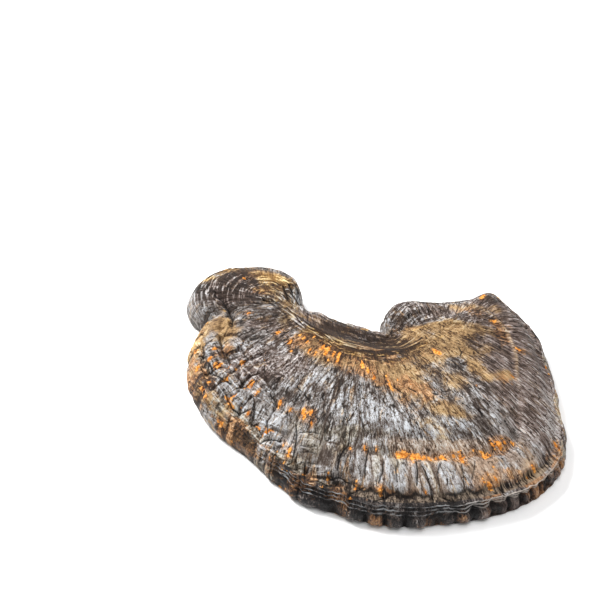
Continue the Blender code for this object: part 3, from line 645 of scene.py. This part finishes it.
def rim_rings(cap, lip_z):
    """Rings down the rim, over its ledges, to the edge of the underside."""
    rings, creases, shaded_gaps = [], [], []
    lumps = np.abs(np.sin(17.5 * cap.turn + 0.9 * np.sin(5 * cap.turn) + 1.2 * np.sin(9 * cap.turn))) ** 0.7
    beads = np.abs(np.sin(46.0 * cap.turn + 2.1 * np.sin(7 * cap.turn) + 1.3 * np.sin(4 * cap.turn)))
    right = ramp(cap.edge[:, 0], 25, 55)
    plain = ramp(cap.place, 0.80, 0.86)
    side = fall(cap.edge[:, 0], -60, -20)
    plated = np.maximum(cap.rounded, side) * (1 - plain)
    at_cut = (cap.edge[:, 0] > CUT_X[0]) & (cap.edge[:, 0] < CUT_X[1]) & (cap.edge[:, 1] > 30)
    ledges, rounds = section(LEDGES, RIM_STEPS), section(ROUNDED, RIM_STEPS)
    count = len(ledges)
    for k, ((ledge_out, ledge_up), (round_out, round_up)) in enumerate(zip(ledges, rounds)):
        share = ledge_out + cap.rounded * (round_out - ledge_out)
        up = ledge_up + cap.rounded * (round_up - ledge_up)
        level = np.full(LINES, 4.0 * k / count)
        low = hill(up, 0.3, 0.25) * (1 - cap.rounded)
        shelf = hill(up, 0.75, 0.25) * (1 - cap.rounded)
        sway = grain(cap.round * 30, level, 30, 83)
        frill = grain(cap.round * 90, level * 1.5, 90, 84)
        fibre = grain(cap.round * 240, level * 2, 240, 85)
        tall = fall(up, 0.70, 0.90) * ramp(up, 0.0, 0.12) * (1 - cap.rounded)
        push = (1 - 0.5 * right) * 3.6 * low * (lumps - 0.8) + (1 - right) * 1.3 * low * (beads - 0.7)
        push *= 1 - 0.75 * side
        push += right * 2.4 * tall * (beads - 0.7) * (1 - plain) + 0.25 * fibre * ramp(up, 0.02, 0.2)
        push += shelf * (0.9 * sway + 0.6 * frill) - 2.6 * tall * hill(cap.place, 0.74, 0.09)
        plate = grain(cap.round * 38 + 1.0 * sway + 0.3 * frill, level * 1.1, 38, 87)
        held = ramp(up, 0.0, 0.15) * (1 - 0.6 * ramp(up, 0.85, 1.0))
        push += plated * held * (2.8 - 1.5 * side) * (ridged(plate, 3.0) - 0.75)
        creases.append(plate * 5)
        folded = fall(up, 0.5, 0.75) * (1 - lumps) ** 1.5
        folded = np.maximum(folded, 1.3 * right * tall * (1 - beads) ** 2)
        shaded_gaps.append((1 - cap.rounded) * (1 - plain) * ramp(up, 0.02, 0.1) * folded)
        lift = shelf * (1.1 * grain(cap.round * 36, level * 0.6, 36, 86) + 0.6 * frill)
        plan = cap.lip + (cap.rim * share + push * ramp(up, 0.0, 0.1))[:, None] * cap.across
        cut = np.interp(plan[:, 0], CUT_X, CUT_Y)
        plan[:, 1] = np.where(at_cut, np.minimum(plan[:, 1], cut), plan[:, 1])
        rings.append(np.column_stack([plan, np.maximum(lip_z * up + lift, 0)]))
    return np.array(rings), at_cut, np.array(creases), np.array(shaded_gaps)


def under_rings(cap, edge):
    """Rings across the underside, from the rim inwards; it rests on its outer part."""
    rings = []
    for inward in np.linspace(0, 1, UNDER_RINGS + 1)[1:]:
        plan = edge[:, :2] + inward * (cap.start - edge[:, :2])
        swell = 0.5 * (1 - np.cos(math.pi * inward)) * (0.5 + 0.2 * np.sin(5 * cap.turn))
        rings.append(np.column_stack([plan, swell]))
    return np.array(rings)


def cap_mesh():
    cap = Cap()
    relief, lines = fine_relief(cap)
    height = smooth_height(cap) + relief
    top = np.stack([cap.x, cap.y, height], -1)
    rim, at_cut, creases, shaded_gaps = rim_rings(cap, height[-1])
    under = under_rings(cap, rim[-1])
    rings = np.concatenate([top, rim, under])
    rings_outer = np.concatenate([top, rim])
    rings[..., 0] -= MIDDLE[0]
    rings[..., 1] -= MIDDLE[1]
    points = (rings * MM).reshape(-1, 3)

    count = len(rings)
    ring, line = np.meshgrid(np.arange(count - 1), np.arange(LINES), indexing="ij")
    here, next_to = ring * LINES + line, ring * LINES + (line + 1) % LINES
    quads = np.stack([here, here + LINES, next_to + LINES, next_to], -1).reshape(-1, 4)
    last = (count - 1) * LINES
    lids = [list(range(LINES)), list(range(last + LINES - 1, last - 1, -1))]
    mesh = bpy.data.meshes.new("reishi_crust")
    mesh.from_pydata(points.tolist(), [], quads.tolist() + lids)

    down = np.arange(1, count - len(top) + 1)[:, None] * np.ones(LINES)
    level = np.concatenate([0 * cap.out, down[: len(rim)] / len(rim)])
    travel = np.concatenate([cap.travel, cap.travel[-1] + 0.75 * down])

    def down_the_rim(values):
        """Values of the upper side, and those of its lip again on each ring of the rim."""
        return np.concatenate([values, np.repeat(values[-1:], len(rim), 0)])

    lines = {name: down_the_rim(values) for name, values in lines.items()}
    for name in ("crack_here", "old_edge"):
        lines[name] = lines[name] * fall(level, 0.0, 0.12)
    lines["facet"][len(top):] = creases
    ledged = (1 - cap.rounded) * ramp(cap.edge[:, 0], -60, -34) * fall(cap.place, 0.79, 0.84)
    lines["left"][len(top):] = np.maximum(lines["left"][len(top):], 1 - ledged)
    notch = 0.035 * ramp(rings_outer[..., 0], 27, 29) * ramp(level, 0.0, 0.04)
    lines["rim"] = level + notch
    lines["crowd"] = down_the_rim(cap.crowd)
    lines["ledged"] = ledged + 0 * level
    lines["right"] = ramp(cap.edge[:, 0], 30, 70) + 0 * level
    x, y = rings_outer[..., 0], rings_outer[..., 1]
    lines.update(colour_masks(cap, x, y, travel[: len(level)], level, lines))
    # Painted shade in the gaps between the rim's folded lumps.
    lines["dark"][len(top):] += 2.2 * shaded_gaps * ramp(ledged, 0.0, 0.5)
    for name, values in lines.items():
        values = np.concatenate([values, np.zeros((len(under), LINES))])
        layer = mesh.attributes.new(name, "FLOAT", "POINT")
        layer.data.foreach_set("value", values.ravel().astype(np.float32))
    radius = LINES * SPACING / TAU
    across = np.stack([radius * np.cos(cap.turn), radius * np.sin(cap.turn)], -1)
    place = np.concatenate([np.broadcast_to(across, (count, LINES, 2)), travel[..., None]], -1)
    layer = mesh.attributes.new("grow", "FLOAT_VECTOR", "POINT")
    layer.data.foreach_set("vector", place.ravel().astype(np.float32))

    kinds = np.full(len(quads) + 2, CRUST, dtype=np.int32)
    of_ring = ring.ravel()
    pored_from = len(top) + len(rim) - PORED
    kinds[: len(quads)][of_ring >= pored_from] = PORES
    flat = at_cut[line.ravel()] & at_cut[(line.ravel() + 1) % LINES]
    flat &= (of_ring >= len(top) + ABOVE_CUT) & (of_ring < pored_from)
    kinds[: len(quads)][flat] = FLESH
    kinds[-1] = PORES
    for material in (crust(), pore_surface(), cut_flesh()):
        mesh.materials.append(material)
    mesh.polygons.foreach_set("material_index", kinds)
    mesh.shade_smooth()
    mesh.validate()
    return mesh


# ---------------------------------------------------------------------------------------------------
# Materials

# Colours of the crust from its darkest to its lightest tone: place, red, green and blue. The darkest stops
# serve the dark lines and the painted shade, the bluish lightest ones the painted glints.
TONES = {
    "grey": (
        (0.02, 0.010, 0.008, 0.007), (0.26, 0.062, 0.053, 0.048), (0.50, 0.232, 0.205, 0.187),
        (0.70, 0.31, 0.302, 0.30), (1.0, 0.49, 0.51, 0.54),
    ),
    "mauve": (
        (0.02, 0.009, 0.006, 0.005), (0.28, 0.045, 0.031, 0.026), (0.52, 0.150, 0.108, 0.092),
        (0.74, 0.26, 0.213, 0.195), (1.0, 0.51, 0.48, 0.465),
    ),
    "tan": (
        (0.02, 0.015, 0.012, 0.008), (0.26, 0.085, 0.070, 0.051), (0.52, 0.24, 0.205, 0.16),
        (0.76, 0.345, 0.32, 0.275), (1.0, 0.48, 0.47, 0.435),
    ),
    "dust": (
        (0.02, 0.024, 0.013, 0.007), (0.25, 0.115, 0.064, 0.030), (0.52, 0.315, 0.195, 0.088),
        (0.78, 0.40, 0.28, 0.145), (1.0, 0.52, 0.44, 0.31),
    ),
    "ember": (
        (0.02, 0.016, 0.009, 0.006), (0.25, 0.070, 0.034, 0.018), (0.52, 0.24, 0.115, 0.048),
        (0.78, 0.46, 0.25, 0.11), (1.0, 0.60, 0.42, 0.27),
    ),
    "loam": (
        (0.05, 0.010, 0.007, 0.006), (0.32, 0.045, 0.032, 0.023), (0.56, 0.185, 0.140, 0.104),
        (0.80, 0.28, 0.225, 0.165), (1.0, 0.42, 0.36, 0.29),
    ),
    "gilt": (
        (0.02, 0.04, 0.018, 0.006), (0.32, 0.20, 0.105, 0.035), (0.60, 0.48, 0.29, 0.105),
        (0.95, 0.78, 0.60, 0.30),
    ),
    "clay": (
        (0.02, 0.020, 0.013, 0.009), (0.26, 0.110, 0.072, 0.050), (0.52, 0.30, 0.21, 0.148),
        (0.78, 0.39, 0.315, 0.255), (1.0, 0.49, 0.455, 0.41),
    ),
}
FLAKE_TONES = ((0.1, 0.24, 0.052, 0.008), (0.5, 0.60, 0.205, 0.028), (0.9, 0.86, 0.42, 0.11))
# Colours of the rim from darkest to lightest tone: dark partly as painted shade on a rim that faces down and
# partly as its own dark crust; the lightest, bluish stop is a painted highlight on its glossy lumps.
EDGE_TONES = (
    (0.10, 0.006, 0.005, 0.005), (0.44, 0.026, 0.021, 0.020), (0.62, 0.085, 0.066, 0.058),
    (0.82, 0.19, 0.165, 0.15), (1.0, 0.35, 0.35, 0.355),
)


class Wire:
    """The output of a node. Sums and products with it make further nodes."""

    def __init__(self, nodes, socket):
        self.nodes, self.socket = nodes, socket

    def __add__(self, other):
        return self.nodes.math("ADD", self, other)

    def __mul__(self, other):
        return self.nodes.math("MULTIPLY", self, other)

    def __sub__(self, other):
        return self.nodes.math("SUBTRACT", self, other)

    def __rsub__(self, other):
        return self.nodes.math("SUBTRACT", other, self)

    def __abs__(self):
        return self.nodes.math("ABSOLUTE", self)

    __radd__ = __add__
    __rmul__ = __mul__

    def swing(self, strength):
        """Noise turned into a swing about 0."""
        return (self - 0.5) * strength

    def ramp(self, low, high, start=0.0, end=1.0):
        inputs = {"Value": self, "From Min": low, "From Max": high, "To Min": start, "To Max": end}
        return self.nodes.add("MapRange", "Result", inputs, interpolation_type="SMOOTHSTEP")

    def line(self, width):
        """1 where the noise crosses its middle, in thin winding lines."""
        return abs(self - 0.5).ramp(0.0, width, 1.0, 0.0)


class Nodes:
    """Short calls for one material's node tree."""

    def __init__(self, name):
        self.material = bpy.data.materials.new(name)
        self.material.use_nodes = True
        self.tree = self.material.node_tree
        self.shader = self.tree.nodes["Principled BSDF"]

    def add(self, kind, result, inputs, **settings):
        """A new node's output of this name or number."""
        node = self.tree.nodes.new("ShaderNode" + kind)
        for name, value in settings.items():
            setattr(node, name, value)
        for name, value in inputs.items():
            self.link(value, node.inputs[name])
        return Wire(self, node.outputs[result])

    def link(self, value, socket):
        if isinstance(value, Wire):
            self.tree.links.new(value.socket, socket)
        else:
            socket.default_value = value

    def attribute(self, name, result="Fac"):
        return self.add("Attribute", result, {}, attribute_name=name)

    def math(self, operation, a, b=0.0, clamp=False):
        return self.add("Math", 0, {0: a, 1: b}, operation=operation, use_clamp=clamp)

    def largest(self, value, *others):
        for other in others:
            value = self.math("MAXIMUM", value, other)
        return value

    def noise(self, vector, scale, detail=2.0, rough=0.5, warp=0.0, stretch=None):
        if stretch:
            vector = self.add("Mapping", 0, {"Vector": vector, "Scale": stretch})
        inputs = {"Vector": vector, "Scale": scale, "Detail": detail, "Roughness": rough, "Distortion": warp}
        return self.add("TexNoise", "Fac", inputs)

    def blend(self, share, a, b):
        """A mix of two values, where mix has two colours."""
        return self.add("Mix", 0, {0: share, 2: a, 3: b}, data_type="FLOAT")

    def mix(self, share, a, b):
        return self.add("Mix", 2, {0: share, 6: a, 7: b}, data_type="RGBA")

    def coats(self, colour, *coats):
        """A colour under coats of others, each with its share."""
        for share, coat in coats:
            colour = self.mix(share, colour, coat)
        return colour

    def palette(self, value, stops):
        wire = self.add("ValToRGB", 0, {0: value})
        elements = wire.socket.node.color_ramp.elements
        while len(elements) < len(stops):
            elements.new(0.5)
        for element, stop in zip(elements, stops):
            element.position = stop[0]
        for element, stop in zip(elements, stops):
            element.color = (*stop[1:], 1)
        return wire

    def bump(self, height, distance, **more):
        return self.add("Bump", 0, {"Strength": 1.0, "Distance": distance, "Height": height, **more})

    def finished(self, colour, rough, normal):
        for name, value in (("Base Color", colour), ("Roughness", rough), ("Normal", normal)):
            self.link(value, self.shader.inputs[name])
        return self.material


def crust():
    """Grey lacquered crust over brown, with ochre spore dust, orange flakes, painted glints and painted
    shade in its creases.
    """
    n = Nodes("reishi_crust")
    names = "ochre rust sand dark light pale brown olive gold orange halo settled lip rim ledged last left"
    (ochre, rust, sand, dark, light, pale, brown, olive, gold, orange, halo, settled, lip, rim, ledged, last,
     left) = map(n.attribute, names.split())
    names = "long right comb crowd wrinkle fold facet old_edge ribs arcs brink crack_side crack_here"
    (long, right, comb, crowd, wrinkle, fold, facet, old_edge, ribs, arcs, brink, crack_side,
     crack_here) = map(n.attribute, names.split())
    grow = n.attribute("grow", "Vector")
    once, twice = crowd.ramp(0.0, 1.0), crowd.ramp(1.0, 2.0)

    def strands(scale, length, detail, rough, warp, width=1.0):
        """Streaky noise that keeps its width where the growth lines crowd together."""
        full, half, quarter = (
            n.noise(grow, scale, detail, rough, warp, (width * k, width * k, length))
            for k in (1.0, 0.5, 0.25)
        )
        return n.blend(twice, n.blend(once, full, half), quarter)

    def drawn(plain, longer):
        """Strands, and others where the growth lines are long and straight."""
        return n.blend(long, strands(*plain), strands(*longer))

    hair = drawn((1.35, 0.75, 2.0, 0.6, 1.2), (1.35, 0.14, 2.0, 0.6, 0.3))
    strand = drawn((0.55, 0.45, 2.0, 0.5, 1.0), (0.95, 0.12, 2.0, 0.5, 0.3))
    glint_spots = drawn((0.70, 0.60, 1.0, 0.5, 1.4), (1.20, 0.16, 1.0, 0.5, 0.4))
    furrow = drawn((0.33, 0.22, 1.0, 0.5, 0.9), (0.70, 0.10, 1.0, 0.5, 0.4))
    crackle = drawn((0.50, 0.36, 2.0, 0.6, 1.8), (0.80, 0.10, 1.0, 0.5, 0.5))
    worm = strands(1.25, 0.75, 1.0, 0.5, 1.8)
    speck = strands(0.85, 0.80, 0.0, 0.5, 0.2)
    cloud = strands(0.12, 0.5, 3.0, 0.55, 0.6)
    ringed = strands(1.0, 0.8, 2.0, 0.55, 0.8, width=0.13)
    flash = strands(0.62, 0.55, 2.0, 0.6, 2.4)
    where = n.add("TexCoord", "Object", {})
    crumb = n.noise(where, 620, 3.0, 0.65, 0.6)
    blotch = n.noise(where, 130, 3.0, 0.6, 0.4)

    def groove(side, wander, near, far):
        """1 along the line where a signed value crosses 0, made uneven by the grain."""
        return abs(side + hair.swing(wander)).ramp(near, far, 1.0, 0.0)

    flat = n.largest(ochre, 0.8 * last)
    # Painted shade: darker along the wrinkles' valleys, the folds' gullies and the creases between plates.
    valley = groove(wrinkle, 0.6, 0.02, 0.18) * (0.8 - 0.5 * flat)
    gully = groove(fold, 0.4, 0.03, 0.24) * (1 - left)
    gully = gully * (1 - 0.7 * (ochre * (1 - last))) * (1 - 0.6 * (right * last) - 0.4 * long)
    seam = groove(facet, 1.6, 0.10, 0.75) * left
    wall = rim.ramp(0.0, 0.06) * (1 - ledged)
    shade = n.largest(n.largest(0.75 * valley, gully) * (1 - 0.8 * wall), seam) * settled
    split = groove(facet, 1.0, 0.03, 0.26) * (left * strand.ramp(0.42, 0.52))
    crack = groove(crack_side, 0.9, 0.08, 0.50) * crack_here.ramp(0.1, 0.8)
    pit = speck.ramp(0.24, 0.32, 1.0, 0.0) * (1 - 0.5 * flat)
    # Painted glints: light strokes on the wrinkles' shoulders and in curling lines, where the pale mask and
    # the blotches let them show.
    shoulder = abs(wrinkle - 0.42 + worm.swing(1.2))
    curl = strands(0.50, 0.55, 2.0, 0.6, 1.6).line(0.075)
    glint = n.largest(0.7 * shoulder.ramp(0.02, 0.15, 1.0, 0.0), curl)
    glint = glint * (pale + blotch.swing(2.0)).ramp(0.25, 0.85)
    across = n.largest(arcs, 0.7 * left) * (1 - 0.4 * wall)
    waves = ringed.swing(2.3) + 0.28 * ringed.ramp(0.53, 0.60) - 0.25 * ringed.line(0.035) - 0.05
    waves = across * waves
    teeth = strands(1.1, 0.03, 1.0, 0.5, 0.1).ramp(0.44, 0.52, 1.0, 0.0) * comb

    calm = 1 - 0.34 * ochre - 0.30 * across - 0.35 * last - 0.32 * long - 0.2 * left
    calm = calm * (1 - 0.5 * n.largest(lip, rim.ramp(0.0, 0.03, 0.0, 0.3)) + 0.05 * wall)
    # The light spots and the light lines added to the swing are painted glints.
    swing = (
        hair.swing(0.85) + worm.swing(0.6) + strand.swing(0.4) + crumb.swing(0.7)
        - 0.50 * crackle.line(0.035) + 0.34 * flash.line(0.030) + 0.01
        + 0.32 * glint_spots.ramp(0.49, 0.56) - 0.58 * furrow.line(0.05) - 0.04
    )
    # The painted glints lighten the tone, and the painted shade and the dark mask, partly painted shade,
    # darken it.
    tone = (
        0.585 + 0.16 * light + swing * calm + cloud.swing(0.25) + waves + 0.56 * glint
        - 0.9 * teeth - 0.30 * shade - 0.50 * pit - 0.30 * dark - 0.09 * pale
        + 0.16 * old_edge + 0.04 * left + 0.06 * last
    )
    grey, mauve, tan, dust, ember, loam, gilt, clay = (n.palette(tone, stops) for stops in TONES.values())
    flake = n.palette(0.5 + crumb.swing(2.2) + hair.swing(0.8), FLAKE_TONES)

    def zone(mask, swing, low, high, cut=hair):
        """A mask with an edge broken by grain, and nothing where the mask is 0."""
        broken = (mask + blotch.swing(swing) + cut.swing(swing * 0.8)).ramp(low, high)
        return broken * mask.ramp(0.02, 0.2)

    wave = n.noise(grow, 0.17, 3.0, 0.6, stretch=(1.0, 1.0, 0.2))
    level = rim + wave.swing(0.20) * rim.ramp(0.0, 0.1) + strand.swing(0.02)
    ledges = n.math("COSINE", level * (12 * math.pi))
    worn = n.noise(grow, 0.16, 2.0, 0.5, stretch=(1.0, 1.0, 3.0)).ramp(0.38, 0.58, 0.1, 1.0)
    shelf = ledges.ramp(0.58, 0.97) * rim.ramp(0.50, 0.58, 1.0, 0.0) * ledged
    shelf = shelf * n.largest(worn, 0.8 * right)
    # The rim's tone, lighter towards the right; its lightest end gives the painted highlights on the lumps.
    lit = tone + 0.26 * right + blotch.swing(0.9) + hair.swing(0.5) - 0.15 * dark
    stained = n.noise(where, 95, 3.0, 0.6, 0.5).ramp(0.60, 0.68)
    stained = n.largest(zone(rust, 1.2, 0.2, 0.7, crumb), stained)
    edge = n.coats(
        n.palette(lit, EDGE_TONES),
        (0.85 * stained, ember),
        (zone(brown * rim, 1.2, 0.2, 0.7), mauve),
        (shelf * rim.ramp(0.01, 0.03), n.mix(right, (0.33, 0.34, 0.35, 1), (0.55, 0.48, 0.42, 1))),
    )
    layered = (ledged + blotch.swing(1.2)).ramp(0.35, 0.65)

    thread = strands(0.42, 0.26, 3.0, 0.6, 0.8)
    short = 1 - 0.6 * long
    flecked = (thread + crumb.swing(0.5)).ramp(0.64, 0.72, 0.0, 0.7)
    clayey = 0.65 * (groove(fold, 0.5, 0.10, 0.42) * (last * ribs))
    burst = zone(orange, 2.6, 0.52, 0.70, crumb)
    broken = n.noise(grow, 0.11, 2.0, 0.5, stretch=(1.0, 1.0, 0.6)).ramp(0.44, 0.56)
    # A painted shadow line under the scalloped lobes along the lip.
    brink = groove(brink - 0.3, 1.6, 0.10, 0.70) * lip.ramp(0.0, 0.2) * broken * (1 - comb)
    # The gaps painted near black: cracks, that painted shadow line and the splits between plates.
    gap = n.largest(crack, 0.9 * brink, 0.85 * split)
    colour = n.coats(
        grey,
        (zone(brown, 1.2, 0.20, 0.75), mauve),
        (zone(olive, 1.2, 0.30, 0.70), tan),
        (zone(ochre, 1.3, 0.22, 0.72), dust),
        (zone(rust, 1.6, 0.25, 0.75, crumb), ember),
        (thread.ramp(0.55, 0.63, 0.0, 0.55) * short, dust),
        (flecked * short, ember),
        (zone(gold, 1.6, 0.30, 0.75), gilt),
        (n.largest(0.9 * zone(sand, 1.0, 0.15, 0.6), clayey), clay),
        (0.45 * old_edge, dust),
        # Coats of the dark mask, partly painted shade, and of the painted shade in valleys and creases.
        (0.22 * dark, (0.022, 0.014, 0.011, 1)),
        (0.55 * shade, (0.050, 0.030, 0.020, 1)),
        (0.75 * zone(halo, 1.8, 0.35, 0.95, crumb), ember),
        (zone(lip, 0.8, 0.30, 0.70), n.mix(0.5 * ochre, loam, dust)),
        (rim.ramp(0.0, 0.04) * layered, edge),
        (burst, flake),
        (0.93 * gap, (0.010, 0.008, 0.007, 1)),
    )

    matte = n.largest(ochre, burst, 0.6 * olive)
    rough = n.math("ADD", hair.ramp(0.40, 0.62, 0.58, 0.38) + 0.35 * matte, 0.12 * brown, clamp=True)
    n.shader.inputs["Specular IOR Level"].default_value = 0.2
    fine = 0.7 * hair + 0.5 * strand + 0.6 * worm + 0.12 * glint
    fine = fine * (1 - 0.4 * last - 0.35 * left - 0.3 * ochre)
    fine = fine - 0.5 * gap - 0.4 * pit - 0.25 * valley - 0.3 * seam + 0.5 * waves + 0.25 * burst
    return n.finished(colour, rough, n.bump(fine, 0.0011))


def pore_surface():
    """Matte tan pore surface, stained brown."""
    n = Nodes("reishi_pores")
    where = n.add("TexCoord", "Object", {})
    cloud = n.noise(where, 60, 4.0, 0.6)
    hole = n.add("TexVoronoi", "Distance", {"Vector": where, "Scale": 1400}).ramp(0.15, 0.5)
    tan = n.mix(cloud.ramp(0.35, 0.65), (0.30, 0.19, 0.105, 1), (0.50, 0.37, 0.23, 1))
    colour = n.mix(0.35 * hole, tan, (0.16, 0.09, 0.05, 1))
    normal = n.bump(hole, 0.0003, Normal=n.bump(cloud, 0.002))
    return n.finished(colour, cloud.ramp(0.3, 0.7, 0.75, 0.92), normal)


def cut_flesh():
    """Brown corky flesh where the cap was cut off, in faint layers."""
    n = Nodes("reishi_cut")
    where = n.add("TexCoord", "Object", {})
    fibre = n.noise(where, 260, 4.0, 0.6, 0.3, (1.0, 1.0, 4.0))
    layer = n.noise(where, 320, 2.0, 0.5, 0.2, (0.15, 0.15, 1.0))
    brown = n.mix(fibre.ramp(0.35, 0.65), (0.085, 0.038, 0.018, 1), (0.27, 0.145, 0.07, 1))
    brown = n.mix(layer.ramp(0.5, 0.7, 0.0, 0.6), brown, (0.05, 0.022, 0.012, 1))
    return n.finished(brown, fibre.ramp(0.3, 0.7, 0.95, 0.75), n.bump(fibre, 0.0012))


# ---------------------------------------------------------------------------------------------------
# Floor, light and camera

CAMERA_AT = Vector((0.0037, -0.4270, 0.6398))
AIM_AT = Vector((-0.0394, 0.0618, 0.0))
LENS_MM = 93.7


def pale_floor():
    half = 2.0
    mesh = bpy.data.meshes.new("floor")
    corners = [(-half, -half, 0), (half, -half, 0), (half, half, 0), (-half, half, 0)]
    mesh.from_pydata(corners, [], [(0, 1, 2, 3)])
    floor = bpy.data.objects.new("floor", mesh)
    bpy.context.scene.collection.objects.link(floor)
    material = bpy.data.materials.new("floor_paper")
    material.use_nodes = True
    shader = material.node_tree.nodes["Principled BSDF"]
    shader.inputs["Base Color"].default_value = (0.93, 0.93, 0.93, 1)
    shader.inputs["Roughness"].default_value = 0.9
    mesh.materials.append(material)


def soft_box(name, at, toward, width, power):
    light = bpy.data.lights.new(name, "AREA")
    light.shape = "SQUARE"
    light.size = width
    light.energy = power
    lamp = bpy.data.objects.new(name, light)
    bpy.context.scene.collection.objects.link(lamp)
    lamp.location = at
    lamp.rotation_euler = (Vector(toward) - Vector(at)).to_track_quat("-Z", "Y").to_euler()


def studio():
    world = bpy.data.worlds.new("studio")
    bpy.context.scene.world = world
    world.use_nodes = True
    background = world.node_tree.nodes["Background"]
    background.inputs["Color"].default_value = (1, 1, 1, 1)
    background.inputs["Strength"].default_value = 0.33
    soft_box("key", (-0.65, 0.42, 0.95), (0, 0, 0), 0.45, 30)
    soft_box("top", (0.15, 0.0, 1.1), (0, 0, 0), 0.7, 9)
    bpy.context.scene.view_settings.view_transform = "Standard"


def camera():
    lens = bpy.data.cameras.new("camera")
    lens.sensor_width = 36
    lens.lens = LENS_MM
    eye = bpy.data.objects.new("camera", lens)
    bpy.context.scene.collection.objects.link(eye)
    eye.location = CAMERA_AT
    eye.rotation_euler = (AIM_AT - CAMERA_AT).to_track_quat("-Z", "Y").to_euler()
    bpy.context.scene.camera = eye


camera()
pale_floor()
studio()
reishi = bpy.data.objects.new("reishi", cap_mesh())
bpy.context.scene.collection.objects.link(reishi)
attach(reishi, "root")
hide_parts("reishi_cap")
